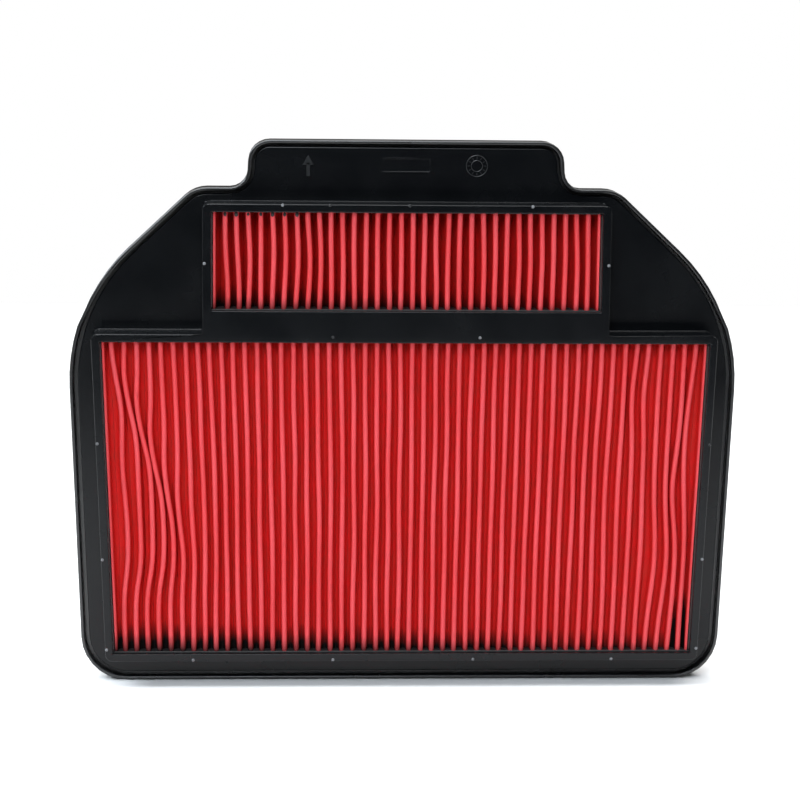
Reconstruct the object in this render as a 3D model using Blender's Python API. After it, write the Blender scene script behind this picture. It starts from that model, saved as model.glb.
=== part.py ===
"""Panel air filter for a motorcycle: a moulded frame with two windows of pleated paper.

The filter stands upright on the lower edge of its rim seal. The dirty side faces -Y, the clean side
faces +Y, +Z is up and the origin is the centre of the footprint. All sizes below are in millimetres;
mesh data is scaled to metres as it is made.
"""

import math
from dataclasses import dataclass

import bmesh
import bpy
from mathutils import Vector

MM = 0.001
FIT_GAP = 0.3  # between pieces that touch
SHARP_ANGLE = math.radians(30)

# T-shaped box, from the bottom up
BOX_BOTTOM_Z = 9.5
LOWER_BOX_HEIGHT = 113.8
LOWER_BOX_WIDTH = 205.1  # along its bottom edge
BOX_SIDE_LEAN = 2.08  # degrees, the lower box widens upwards
UPPER_BOX_HEIGHT = 44.2
UPPER_BOX_WIDTH = 138.3
BOX_CORNER_RADIUS = 2.2
BOX_INNER_CORNER_RADIUS = 0.5

# Depths, along Y
TOTAL_DEPTH = 30.0
FLANGE_SETBACK = 12.0  # flange plate, behind the box's front face
FLANGE_THICKNESS = 2.4
LIP_THICKNESS = 2.0  # plate round the windows
REAR_GRILLE_DEPTH = 2.9

# Windows and walls
WINDOW_BORDER = 2.6
WINDOW_TOP_BORDER = 2.7
UPPER_SIDE_BORDER = 2.9
BAR_HEIGHT = 10.7  # between the windows
LIP_OVERHANG = 0.8  # the lip's edge stands this far inside the box's walls
POCKET_WALL = 1.8  # walls above and below the hollow behind the bar

# Rim seal: a ridge in front of the flange's edge and a base behind it
SEAL_RIDGE_WIDTH = 1.4
SEAL_RIDGE_HEIGHT = 1.0  # above the flange plate
SEAL_BASE_WIDTH = 4.5
SEAL_BASE_DEPTH = 4.4  # behind the flange plate
SEAL_GROOVE = 1.0  # between the ridge and the flange's edge
SEAL_CHAMFER = 0.35
SEAL_STEP = 0.5  # the seal's lower part is thicker by this much
SEAL_STEP_RISE = 6.0  # the step, above the lower box
SEAL_STEP_RAMP = 2.0

# Pleated paper
LOWER_PLEATS = 51
UPPER_PLEATS = 33
PAPER_THICKNESS = 0.6
FOLD_FLAT = 0.45  # half the flat width at a fold's crest
END_SEAL_HEIGHT = 0.9
SIDE_BOND_THICKNESS = 0.9

# Clean side
BEAD_DEPTH = 1.0
BEAD_HEIGHT = 1.6
LOWER_BEADS = 3
UPPER_BEADS = 2
SCREEN_THICKNESS = 0.6
GRILLE_INSET = 1.0  # the grille's openings start this far inside the windows' edges
GRILLE_RIB = 2.2
LOWER_GRILLE = (9, 5)  # openings across and up
UPPER_GRILLE = (6, 2)

# Clips of the rear grilles
CLIP_WIDTH = 8.0
CLIP_LENGTH = 7.0
CLIP_THICKNESS = 1.2
CLIP_EYE_WIDTH = 5.4
CLIP_EYE_LENGTH = 2.6
CLIP_EYE_MARGIN = 1.5  # from the clip's free end
CLIP_ROOT_STEP = 0.25  # the root's block is this much smaller than the tongue it joins
CLIP_ROOT_DEPTH = 1.0  # how far the root reaches into the grille
CLIP_SIDE_ROOM = 2.5  # between the clips on the lower box's sides and the seal
LOWER_SIDE_CLIPS = (0.28, 0.72)  # places along the lower box's sides, from 0 to 1
UPPER_SIDE_CLIP = 0.5
BOTTOM_CLIP = 0.58
LEDGE_CLIP = 0.5

# Catches on the box that stand in the clips' eyes
CATCH_HEIGHT = 1.1
CATCH_CLEARANCE = 0.3
CATCH_SLOPE = 0.7  # the catch's top is this much shorter than its foot

# Gussets between the box and the flange's rear face
GUSSET_THICKNESS = 1.6
GUSSET_HEIGHT = 7.0
SIDE_GUSSETS = ((0.25, 14.0), (0.75, 6.0))  # place along the upper box's side, and length
TOP_GUSSET_X = 22.0
TOP_GUSSET_LENGTH = 11.0

# Flange outline
TOP_MARGIN = SEAL_BASE_WIDTH + FIT_GAP  # the shoulder, above the box
SIDE_MARGIN = SEAL_BASE_WIDTH + FIT_GAP + CLIP_THICKNESS + CLIP_SIDE_ROOM
SHOULDER_REACH = 3.0  # the shoulder's corner, past the upper box
FLANK_CLEARANCE = 0.5  # between the seal and the lower box's upper corners
TAB_WIDTH = 108.8
TAB_HEIGHT = 16.2
TAB_SIDE_LEAN = 3.0  # degrees, the tab narrows upwards
BASE_CORNER_RADIUS = 15.5
FLANK_RADIUS = 62.5
SHOULDER_RADIUS = 11.0
TAB_FOOT_RADIUS = 6.0
TAB_CORNER_RADIUS = 7.5
SMALLEST_RADIUS = 0.2

# How far a helper shape reaches past the faces that it cuts or joins
OVERCUT = 5.0
OVERLAP = 0.5

PLASTIC = ("black_plastic", (0.012, 0.013, 0.014), 0.32)
RUBBER = ("black_rubber", (0.010, 0.010, 0.011), 0.55)
PAPER = ("red_paper", (0.62, 0.02, 0.02), 0.75)
POTTING = ("potting", (0.008, 0.008, 0.008), 0.5)
BOND = ("bond", (0.02, 0.012, 0.012), 0.5)
HOT_MELT = ("hot_melt", (0.55, 0.45, 0.28), 0.45)
WIRE = ("steel_wire", (0.55, 0.55, 0.55), 0.35)

# Levels along Y
BOX_FRONT_Y = -TOTAL_DEPTH / 2
FLANGE_FRONT_Y = BOX_FRONT_Y + FLANGE_SETBACK
FLANGE_REAR_Y = FLANGE_FRONT_Y + FLANGE_THICKNESS
REAR_Y = TOTAL_DEPTH / 2
REAR_GRILLE_Y = REAR_Y - REAR_GRILLE_DEPTH
BOX_REAR_Y = REAR_GRILLE_Y - FIT_GAP
SCREEN_REAR_Y = REAR_GRILLE_Y - FIT_GAP
SCREEN_FRONT_Y = SCREEN_REAR_Y - SCREEN_THICKNESS
BEAD_REAR_Y = SCREEN_FRONT_Y - FIT_GAP
PACK_REAR_Y = BEAD_REAR_Y - BEAD_DEPTH - FIT_GAP
LIP_REAR_Y = BOX_FRONT_Y + LIP_THICKNESS
PACK_FRONT_Y = LIP_REAR_Y + FIT_GAP

# Levels along Z
LEDGE_Z = BOX_BOTTOM_Z + LOWER_BOX_HEIGHT
BOX_TOP_Z = LEDGE_Z + UPPER_BOX_HEIGHT
SHOULDER_Z = BOX_TOP_Z + TOP_MARGIN
TAB_TOP_Z = SHOULDER_Z + TAB_HEIGHT
LOWER_WINDOW_Z = (BOX_BOTTOM_Z + WINDOW_BORDER, LEDGE_Z - WINDOW_TOP_BORDER)
UPPER_WINDOW_Z = (LOWER_WINDOW_Z[1] + BAR_HEIGHT, BOX_TOP_Z - WINDOW_BORDER)
SEAL_STEP_Z = LEDGE_Z + SEAL_STEP_RISE

RIGHT = Vector((1, 0, 0))
UP = Vector((0, 0, 1))


@dataclass(frozen=True)
class Space:
    """A space seen from the front: symmetric about X = 0, with side walls that lean evenly."""

    low_half: float
    high_half: float
    low_z: float
    high_z: float

    def half_at(self, z):
        """Half the width at height z."""
        share = (z - self.low_z) / (self.high_z - self.low_z)
        return self.low_half + (self.high_half - self.low_half) * share

    def part(self, low_z, high_z, inset=0.0):
        """The stretch between two heights, less inset at each side."""
        return Space(self.half_at(low_z) - inset, self.half_at(high_z) - inset, low_z, high_z)

    def points(self):
        """The four corners, counter-clockwise seen from the front."""
        return [
            (self.low_half, self.low_z),
            (self.high_half, self.high_z),
            (-self.high_half, self.high_z),
            (-self.low_half, self.low_z),
        ]


def lower_half_width(z, inset=0.0):
    """Half the lower box's width at height z, less inset measured square to its side."""
    lean = math.radians(BOX_SIDE_LEAN)
    return LOWER_BOX_WIDTH / 2 + (z - BOX_BOTTOM_Z) * math.tan(lean) - inset / math.cos(lean)


def upper_half_width(_z, inset=0.0):
    """Half the upper box's width, less inset."""
    return UPPER_BOX_WIDTH / 2 - inset


def grown_window(half_width, window_z, border, growth):
    """A window with each of its edges moved outwards by growth."""
    low_z, high_z = window_z[0] - growth, window_z[1] + growth
    inset = border - growth
    return Space(half_width(low_z, inset), half_width(high_z, inset), low_z, high_z)


def lower_window(growth=0.0):
    """The lower window, or what lies behind it."""
    return grown_window(lower_half_width, LOWER_WINDOW_Z, WINDOW_BORDER, growth)


def upper_window(growth=0.0):
    """The upper window, or what lies behind it."""
    return grown_window(upper_half_width, UPPER_WINDOW_Z, UPPER_SIDE_BORDER, growth)


def mirrored(right_half):
    """Closed outline from its right half, given from the bottom up as (x, z, radius, steps)."""
    return right_half + [(-x, z, radius, steps) for x, z, radius, steps in reversed(right_half)]


def box_corners():
    """Corners of the T-shaped box, counter-clockwise seen from the front."""
    return mirrored(
        [
            (lower_half_width(BOX_BOTTOM_Z), BOX_BOTTOM_Z, BOX_CORNER_RADIUS, 4),
            (lower_half_width(LEDGE_Z), LEDGE_Z, BOX_CORNER_RADIUS, 4),
            (upper_half_width(LEDGE_Z), LEDGE_Z, BOX_INNER_CORNER_RADIUS, 2),
            (upper_half_width(BOX_TOP_Z), BOX_TOP_Z, BOX_CORNER_RADIUS, 4),
        ]
    )


def grille_corners():
    """Corners of the lower and the upper rear grille, which meet at the ledge's height."""
    bottom, ledge, inner, top = box_corners()[:4]
    x, z, radius, steps = inner
    return mirrored([bottom, ledge]), mirrored([(x, z + FIT_GAP, radius, steps), top])


def flank_corner(shoulder):
    """Where the flange's side meets its diagonal, which ends at the shoulder's corner.

    The arc at this corner touches the side and passes the lower box's upper corner at a set distance.
    """
    lean = math.radians(BOX_SIDE_LEAN)
    along, out = Vector((math.sin(lean), math.cos(lean))), Vector((math.cos(lean), -math.sin(lean)))
    centre_to_side = FLANK_RADIUS - SIDE_MARGIN
    centre_to_corner = FLANK_RADIUS - SEAL_BASE_WIDTH - FLANK_CLEARANCE
    below_corner = math.sqrt(centre_to_corner**2 - centre_to_side**2)
    centre = Vector((lower_half_width(LEDGE_Z), LEDGE_Z)) - out * centre_to_side - along * below_corner
    to_shoulder = Vector(shoulder) - centre
    bearing = math.atan2(to_shoulder.y, to_shoulder.x) - math.acos(FLANK_RADIUS / to_shoulder.length)
    out_of_diagonal = Vector((math.cos(bearing), math.sin(bearing)))
    corner = centre + (out + out_of_diagonal) * (FLANK_RADIUS / (1 + out.dot(out_of_diagonal)))
    return corner.x, corner.y


def flange_corners():
    """Corners of the seal's outer edge above its step, counter-clockwise seen from the front."""
    base_z = SEAL_STEP
    shoulder = (upper_half_width(SHOULDER_Z) + SHOULDER_REACH, SHOULDER_Z)
    tab_half = TAB_WIDTH / 2
    tab_top_half = tab_half - TAB_HEIGHT * math.tan(math.radians(TAB_SIDE_LEAN))
    return mirrored(
        [
            (lower_half_width(base_z) + SIDE_MARGIN, base_z, BASE_CORNER_RADIUS, 7),
            (*flank_corner(shoulder), FLANK_RADIUS, 10),
            (*shoulder, SHOULDER_RADIUS, 4),
            (tab_half, SHOULDER_Z, TAB_FOOT_RADIUS, 5),
            (tab_top_half, TAB_TOP_Z, TAB_CORNER_RADIUS, 6),
        ]
    )


def directions(points):
    """Unit vector of each run from a point to the next."""
    return [(Vector(after) - Vector(here)).normalized() for here, after in zip(points, points[1:])]


def mitre(into, away):
    """How far a corner between two runs moves, to their left, as both of them move left by 1."""
    left_of_into, left_of_away = Vector((-into.y, into.x)), Vector((-away.y, away.x))
    return (left_of_into + left_of_away) / (1 + left_of_into.dot(left_of_away))


def outline(corners, inset=0.0):
    """Points of a closed outline with rounded corners, moved inwards by inset.

    A corner's radius shrinks with inset where the outline bulges and grows where it is hollow, so
    every inset has the same number of points and its corners stay concentric.
    """
    places = [corner[:2] for corner in corners]
    runs = directions([places[-1], *places, places[0]])
    points = []
    for (x, z, radius, steps), into, away in zip(corners, runs, runs[1:]):
        turn = into.cross(away)
        side = 1 if turn > 0 else -1
        radius = max(radius - inset * side, SMALLEST_RADIUS)
        angle = math.asin(abs(turn))
        corner = Vector((x, z)) + mitre(into, away) * inset
        centre = corner - into * (radius * math.tan(angle / 2)) + Vector((-into.y, into.x)) * (radius * side)
        start = math.atan2(-into.x * side, into.y * side)
        for step in range(steps + 1):
            bearing = start + side * angle * step / steps
            points.append((centre.x + radius * math.cos(bearing), centre.y + radius * math.sin(bearing)))
    return points


def seal_outline(inset):
    """The seal's outline: as the flange's, but thicker by SEAL_STEP below the step."""
    thin = outline(flange_corners(), inset)
    thick = outline(flange_corners(), inset - SEAL_STEP)
    points = []
    for (x0, z0), (x1, z1) in zip(thin, thick):
        share = min(1.0, max(0.0, (SEAL_STEP_Z - z0) / SEAL_STEP_RAMP))
        points.append((x0 + (x1 - x0) * share, z0 + (z1 - z0) * share))
    return points


def material(finish):
    """The Principled material of a finish, made once."""
    name, colour, roughness = finish
    made = bpy.data.materials.get(name)
    if made is None:
        made = bpy.data.materials.new(name)
        made.use_nodes = True
        shader = made.node_tree.nodes["Principled BSDF"]
        shader.inputs["Base Color"].default_value = (*colour, 1.0)
        shader.inputs["Roughness"].default_value = roughness
        shader.inputs["Metallic"].default_value = 1.0 if finish is WIRE else 0.0
        made.diffuse_color = (*colour, 1.0)
    return made


def add_object(name, shape, finish=None):
    """Turns a bmesh into a named object; without a finish it is a hidden cutter."""
    bmesh.ops.recalc_face_normals(shape, faces=shape.faces)
    mesh = bpy.data.meshes.new(name)
    shape.to_mesh(mesh)
    shape.free()
    mesh.shade_smooth()
    mesh.set_sharp_from_angle(angle=SHARP_ANGLE)
    made = bpy.data.objects.new(name, mesh)
    bpy.context.scene.collection.objects.link(made)
    if finish is None:
        made.hide_render = True
        made.display_type = "WIRE"
    else:
        mesh.materials.append(material(finish))
    return made


def ring_of(shape, points, y):
    """Adds the (x, z) points at depth y as vertices."""
    return [shape.verts.new((x * MM, y * MM, z * MM)) for x, z in points]


def bridge(shape, first, second):
    """Joins two rings of as many vertices with a band of faces."""
    count = len(first)
    for i in range(count):
        j = (i + 1) % count
        shape.faces.new((first[i], first[j], second[j], second[i]))


def add_closed_band(shape, first, second):
    """Joins two rings and closes each of them with a face."""
    bridge(shape, first, second)
    shape.faces.new(first)
    shape.faces.new(list(reversed(second)))


def add_prism(shape, points, front_y, rear_y):
    """Adds a prism with the same (x, z) outline at its front and rear."""
    add_closed_band(shape, ring_of(shape, points, front_y), ring_of(shape, points, rear_y))


def prism(name, points, front_y, rear_y, finish=None):
    """A prism as an object of its own."""
    shape = bmesh.new()
    add_prism(shape, points, front_y, rear_y)
    return add_object(name, shape, finish)


def add_loft(shape, first, second):
    """Adds a solid between two loops of (x, y, z) points."""
    rings = [[shape.verts.new(Vector(point) * MM) for point in loop] for loop in (first, second)]
    add_closed_band(shape, *rings)


def combine(target, other, operation):
    """Adds an exact Boolean of target with another object."""
    modifier = target.modifiers.new(f"{operation.lower()}_{other.name}", "BOOLEAN")
    modifier.operation = operation
    modifier.solver = "EXACT"
    modifier.object = other


def lower_clip_places():
    """(place on the lower box's outer wall, direction along the wall, outward normal) of each clip."""
    lean = math.radians(BOX_SIDE_LEAN)
    places = []
    for side in (-1, 1):
        along_side = Vector((side * math.sin(lean), 0, math.cos(lean)))
        out_of_side = Vector((side * math.cos(lean), 0, -math.sin(lean)))
        for share in LOWER_SIDE_CLIPS:
            z = BOX_BOTTOM_Z + LOWER_BOX_HEIGHT * share
            places.append((Vector((side * lower_half_width(z), 0, z)), along_side, out_of_side))
        bottom_x = side * lower_half_width(BOX_BOTTOM_Z) * BOTTOM_CLIP
        places.append((Vector((bottom_x, 0, BOX_BOTTOM_Z)), RIGHT, -UP))
        inner_x, outer_x = upper_half_width(LEDGE_Z), lower_half_width(LEDGE_Z)
        ledge_x = side * (inner_x + (outer_x - inner_x) * LEDGE_CLIP)
        places.append((Vector((ledge_x, 0, LEDGE_Z)), RIGHT, UP))
    return places


def upper_clip_places():
    """As lower_clip_places, for the upper box."""
    z = LEDGE_Z + UPPER_BOX_HEIGHT * UPPER_SIDE_CLIP
    return [(Vector((side * upper_half_width(z), 0, z)), UP, RIGHT * side) for side in (-1, 1)]


def wall_block(place, along, normal, half_length, front_y, rear_y, height):
    """Loop of four points parallel to a wall, at a height over it."""
    corners = ((half_length, front_y), (-half_length, front_y), (-half_length, rear_y), (half_length, rear_y))
    return [place + along * s + normal * height + Vector((0, y, 0)) for s, y in corners]


def add_catch(shape, place, along, normal):
    """Adds a wedge that rises from the box's wall towards the front, so that a clip slides over it."""
    wall = (place, along, normal, CLIP_EYE_WIDTH / 2 - CATCH_CLEARANCE)
    eye_y = REAR_GRILLE_Y - CLIP_LENGTH + CLIP_EYE_MARGIN
    front_y, rear_y = eye_y + CATCH_CLEARANCE, eye_y + CLIP_EYE_LENGTH - CATCH_CLEARANCE
    foot = wall_block(*wall, front_y, rear_y, -OVERLAP)
    top = wall_block(*wall, front_y, rear_y - CATCH_SLOPE, CATCH_HEIGHT)
    add_loft(shape, foot, top)


def add_clip(shape, place, along, normal):
    """Adds a clip: a flat tongue with an eye."""
    end_y = REAR_GRILLE_Y - CLIP_LENGTH
    eye_y = end_y + CLIP_EYE_MARGIN
    wall = (place, along, normal)
    loops = []
    for height in (FIT_GAP, FIT_GAP + CLIP_THICKNESS):
        tongue = wall_block(*wall, CLIP_WIDTH / 2, end_y, REAR_Y - CLIP_ROOT_STEP, height)
        eye = wall_block(*wall, CLIP_EYE_WIDTH / 2, eye_y, eye_y + CLIP_EYE_LENGTH, height)
        for loop in (tongue, eye):
            loops.append([shape.verts.new(point * MM) for point in loop])
    low_tongue, low_eye, high_tongue, high_eye = loops
    bridge(shape, low_tongue, low_eye)
    bridge(shape, low_eye, high_eye)
    bridge(shape, high_eye, high_tongue)
    bridge(shape, high_tongue, low_tongue)


def add_clip_root(shape, place, along, normal):
    """Adds the block that joins a clip's tongue to the grille's edge."""
    wall = (place, along, normal, CLIP_WIDTH / 2 - CLIP_ROOT_STEP)
    front_y, rear_y = REAR_GRILLE_Y + CLIP_ROOT_STEP, REAR_Y - 2 * CLIP_ROOT_STEP
    foot = wall_block(*wall, front_y, rear_y, -CLIP_ROOT_DEPTH)
    top = wall_block(*wall, front_y, rear_y, FIT_GAP + CLIP_THICKNESS - CLIP_ROOT_STEP)
    add_loft(shape, foot, top)


def gusset_places():
    """(foot on the box's wall, direction away from it, length) of each gusset behind the flange."""
    places = []
    for side in (-1, 1):
        for share, length in SIDE_GUSSETS:
            z = LEDGE_Z + UPPER_BOX_HEIGHT * share
            places.append((Vector((side * upper_half_width(z), 0, z)), RIGHT * side, length))
        places.append((Vector((side * TOP_GUSSET_X, 0, BOX_TOP_Z)), UP, TOP_GUSSET_LENGTH))
    return places


def add_gusset(shape, place, away, length):
    """Adds a triangular web from the box's wall to the flange's rear face."""
    across = Vector((away.z, 0, -away.x)) * (GUSSET_THICKNESS / 2)
    foot = Vector((0, FLANGE_REAR_Y - OVERLAP, 0))
    tip = Vector((0, FLANGE_REAR_Y + GUSSET_HEIGHT, 0))
    start, end = place - away * OVERLAP, place + away * length
    triangle = [start + foot, end + foot, start + tip]
    add_loft(shape, [point + across for point in triangle], [point - across for point in triangle])


def make_front_frame():
    """The moulded frame: flange plate, T-shaped box, lips round the windows, catches and gussets."""
    flange = outline(flange_corners(), SEAL_RIDGE_WIDTH + SEAL_GROOVE)
    frame = prism("front_frame", flange, FLANGE_FRONT_Y, FLANGE_REAR_Y, PLASTIC)
    combine(frame, prism("box_body", outline(box_corners()), BOX_FRONT_Y, BOX_REAR_Y), "UNION")
    details = bmesh.new()
    for place in lower_clip_places() + upper_clip_places():
        add_catch(details, *place)
    for place in gusset_places():
        add_gusset(details, *place)
    combine(frame, add_object("catches_and_gussets", details), "UNION")

    hollows = bmesh.new()
    lower, upper = lower_window(LIP_OVERHANG), upper_window(LIP_OVERHANG)
    pocket = Space(upper.low_half, upper.low_half, lower.high_z + POCKET_WALL, upper.low_z - POCKET_WALL)
    for space in (lower, upper, pocket):
        add_prism(hollows, space.points(), LIP_REAR_Y, BOX_REAR_Y + OVERCUT)
    combine(frame, add_object("hollows", hollows), "DIFFERENCE")

    windows = bmesh.new()
    for window in (lower_window(), upper_window()):
        add_prism(windows, window.points(), BOX_FRONT_Y - OVERCUT, LIP_REAR_Y + OVERLAP)
    combine(frame, add_object("windows", windows), "DIFFERENCE")


def make_rim_seal():
    """The rubber ring round the flange: a ridge in front, a groove, and a base behind the plate."""
    ridge_y = FLANGE_FRONT_Y - SEAL_RIDGE_HEIGHT
    plate_y = FLANGE_REAR_Y + FIT_GAP
    base_y = FLANGE_REAR_Y + SEAL_BASE_DEPTH
    profile = [
        (SEAL_CHAMFER, ridge_y),
        (0.0, ridge_y + SEAL_CHAMFER),
        (0.0, base_y - SEAL_CHAMFER),
        (SEAL_CHAMFER, base_y),
        (SEAL_BASE_WIDTH - SEAL_CHAMFER, base_y),
        (SEAL_BASE_WIDTH, base_y - SEAL_CHAMFER),
        (SEAL_BASE_WIDTH, plate_y),
        (SEAL_RIDGE_WIDTH, plate_y),
        (SEAL_RIDGE_WIDTH, ridge_y + SEAL_CHAMFER),
        (SEAL_RIDGE_WIDTH - SEAL_CHAMFER, ridge_y),
    ]
    shape = bmesh.new()
    rings = [ring_of(shape, seal_outline(inset), y) for inset, y in profile]
    for i, ring in enumerate(rings):
        bridge(shape, rings[i - 1], ring)
    add_object("rim_seal", shape, RUBBER)


def fold_line(count, half_width):
    """Centre line of a folded sheet seen from above, from a crest at one side wall to the other's."""
    crest_y = PACK_FRONT_Y + PAPER_THICKNESS / 2
    valley_y = PACK_REAR_Y - PAPER_THICKNESS / 2
    reach = half_width - FOLD_FLAT
    line = []
    for fold in range(2 * count + 1):
        x = reach * (fold / count - 1)
        y = crest_y if fold % 2 == 0 else valley_y
        line += [(x - FOLD_FLAT, y), (x + FOLD_FLAT, y)]
    return line


def thick_line(line, thickness):
    """Closed outline of a line given a thickness, square to each of its runs."""
    runs = directions(line)
    shifts = [mitre(into, away) * (thickness / 2) for into, away in zip(runs[:1] + runs, runs + runs[-1:])]
    near = [Vector(point) - shift for point, shift in zip(line, shifts)]
    far = [Vector(point) + shift for point, shift in zip(line, shifts)]
    return near + far[::-1]


def make_pleat_pack(name, count, space):
    """A folded sheet between its side bonds."""
    side_gap = SIDE_BOND_THICKNESS + FIT_GAP
    loops = []
    for z in (space.low_z, space.high_z):
        points = thick_line(fold_line(count, space.half_at(z) - side_gap), PAPER_THICKNESS)
        loops.append([(x, y, z) for x, y in points])
    shape = bmesh.new()
    add_loft(shape, *loops)
    add_object(name, shape, PAPER)


def make_end_seals(prefix, space):
    """The two potting slabs that close the pleats' ends, at the chamber's bottom and top."""
    bottom = space.part(space.low_z, space.low_z + END_SEAL_HEIGHT)
    top = space.part(space.high_z - END_SEAL_HEIGHT, space.high_z)
    for word, slab in (("bottom", bottom), ("top", top)):
        prism(f"{prefix}_end_seal_{word}", slab.points(), PACK_FRONT_Y, PACK_REAR_Y, POTTING)


def make_side_bonds(prefix, space):
    """The strips between the outermost pleats and the chamber's side walls."""
    outer = space.points()
    inner = space.part(space.low_z, space.high_z, SIDE_BOND_THICKNESS).points()
    right = [inner[0], outer[0], outer[1], inner[1]]
    left = [outer[3], inner[3], inner[2], outer[2]]
    for word, strip in (("left", left), ("right", right)):
        prism(f"{prefix}_side_bond_{word}", strip, PACK_FRONT_Y, PACK_REAR_Y, BOND)


def make_spacer_beads(prefix, space, count):
    """The hot melt beads across the pleats' rear crests."""
    for i in range(count):
        middle_z = space.low_z + (space.high_z - space.low_z) * (i + 1) / (count + 1)
        bead = space.part(middle_z - BEAD_HEIGHT / 2, middle_z + BEAD_HEIGHT / 2, SIDE_BOND_THICKNESS)
        name = f"{prefix}_spacer_bead_{i + 1}"
        prism(name, bead.points(), BEAD_REAR_Y - BEAD_DEPTH, BEAD_REAR_Y, HOT_MELT)


def add_grille_openings(shape, space, openings):
    """Adds the cutters of a grille's openings, row by row, with side edges that lean as the box's do."""
    columns, rows = openings
    height = (space.high_z - space.low_z - (rows - 1) * GRILLE_RIB) / rows
    for row in range(rows):
        low_z = space.low_z + row * (height + GRILLE_RIB)
        for column in range(columns):
            edges = []
            for z in (low_z, low_z + height):
                half = space.half_at(z)
                width = (2 * half - (columns - 1) * GRILLE_RIB) / columns
                left = -half + column * (width + GRILLE_RIB)
                edges += [(left, z), (left + width, z)]
            low_left, low_right, high_left, high_right = edges
            points = [low_left, low_right, high_right, high_left]
            add_prism(shape, points, REAR_GRILLE_Y - OVERCUT, REAR_Y + OVERCUT)


def make_rear_grille(name, corners, window, openings, clip_places):
    """A grille that closes one chamber from behind, with its clips."""
    grille = prism(name, outline(corners), REAR_GRILLE_Y, REAR_Y, PLASTIC)
    cutters = bmesh.new()
    add_grille_openings(cutters, window, openings)
    combine(grille, add_object(f"{name}_openings", cutters), "DIFFERENCE")
    clips = bmesh.new()
    roots = bmesh.new()
    for place in clip_places:
        add_clip(clips, *place)
        add_clip_root(roots, *place)
    combine(grille, add_object(f"{name}_clip_roots", roots), "UNION")
    combine(grille, add_object(f"{name}_clips", clips), "UNION")


def make_filter_side(prefix, pleats, beads, space):
    """Everything that one chamber holds."""
    end_gap = END_SEAL_HEIGHT + FIT_GAP
    between_seals = space.part(space.low_z + end_gap, space.high_z - end_gap)
    make_pleat_pack(f"{prefix}_pleat_pack", pleats, between_seals)
    make_end_seals(prefix, space)
    make_side_bonds(prefix, between_seals)
    make_spacer_beads(prefix, space, beads)
    prism(f"{prefix}_wire_screen", space.points(), SCREEN_FRONT_Y, SCREEN_REAR_Y, WIRE)


def main():
    """Clears the scene and builds the filter."""
    for leftover in list(bpy.data.objects):
        bpy.data.objects.remove(leftover, do_unlink=True)
    make_front_frame()
    make_rim_seal()
    make_filter_side("lower", LOWER_PLEATS, LOWER_BEADS, lower_window(LIP_OVERHANG - FIT_GAP))
    make_filter_side("upper", UPPER_PLEATS, UPPER_BEADS, upper_window(LIP_OVERHANG - FIT_GAP))
    lower_corners, upper_corners = grille_corners()
    make_rear_grille(
        "lower_rear_grille", lower_corners, lower_window(-GRILLE_INSET), LOWER_GRILLE, lower_clip_places()
    )
    make_rear_grille(
        "upper_rear_grille", upper_corners, upper_window(-GRILLE_INSET), UPPER_GRILLE, upper_clip_places()
    )


main()
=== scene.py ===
"""Looks of a motorcycle panel air filter: moulded frame, rubber rim seal, pleated paper, rear grilles.

Each sub-assembly is a class that holds its sizes as fields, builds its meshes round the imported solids
and dresses them. Lengths are in metres.
"""

import sys
import logging
import math
from dataclasses import dataclass, field, replace
from enum import Enum
from typing import Any, Callable, Iterator

import bpy
import numpy as np
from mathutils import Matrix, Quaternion, Vector


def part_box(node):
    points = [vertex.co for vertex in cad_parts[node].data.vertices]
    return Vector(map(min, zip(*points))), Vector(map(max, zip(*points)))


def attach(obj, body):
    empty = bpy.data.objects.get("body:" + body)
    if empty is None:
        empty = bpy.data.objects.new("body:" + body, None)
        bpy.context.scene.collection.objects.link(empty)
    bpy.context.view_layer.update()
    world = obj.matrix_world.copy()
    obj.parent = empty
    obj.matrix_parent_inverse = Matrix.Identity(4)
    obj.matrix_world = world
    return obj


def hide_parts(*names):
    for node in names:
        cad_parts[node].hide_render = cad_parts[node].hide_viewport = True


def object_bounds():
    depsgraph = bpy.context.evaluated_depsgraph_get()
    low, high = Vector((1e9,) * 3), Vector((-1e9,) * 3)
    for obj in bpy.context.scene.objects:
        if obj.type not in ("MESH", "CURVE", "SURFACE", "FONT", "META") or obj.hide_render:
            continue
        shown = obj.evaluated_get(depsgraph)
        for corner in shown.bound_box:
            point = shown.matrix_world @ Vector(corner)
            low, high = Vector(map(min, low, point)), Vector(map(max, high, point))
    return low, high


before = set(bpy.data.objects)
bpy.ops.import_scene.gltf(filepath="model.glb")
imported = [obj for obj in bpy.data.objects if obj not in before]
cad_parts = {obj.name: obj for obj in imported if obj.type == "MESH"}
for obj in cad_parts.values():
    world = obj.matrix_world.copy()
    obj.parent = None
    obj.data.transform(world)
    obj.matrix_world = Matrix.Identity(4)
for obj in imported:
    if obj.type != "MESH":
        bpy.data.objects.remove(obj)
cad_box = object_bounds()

log = logging.getLogger("air_filter")

Piece = bpy.types.Object
Material = bpy.types.Material
Socket = bpy.types.NodeSocket
Point = tuple[float, float, float]
Colour = tuple[float, float, float]
Range = tuple[float, float]

MM = 0.001
BODY = "root"
NEAR = 0.01 * MM
MERGE_WITHIN = 0.002 * MM
FLAT_ANGLE = 0.5
FACE_WEIGHT = 90
RISING, FALLING = (0.0, 1.0), (1.0, 0.0)
NOISE_SPREAD = (0.3, 0.7)
MIX_SHARE, MIX_FIRST, MIX_SECOND, MIX_RESULT = 0, 6, 7, 2
FACING_FRONT = (math.pi / 2, 0, 0)
ALONG_X = (0, math.pi / 2, 0)


class Slot(Enum):
    """The record's material slots."""

    PLASTIC = "black_plastic"
    RUBBER = "black_rubber"
    PAPER = "red_paper"
    POTTING = "potting"
    BOND = "side_bond"
    HOT_MELT = "hot_melt"
    WIRE = "steel_wire"


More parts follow.
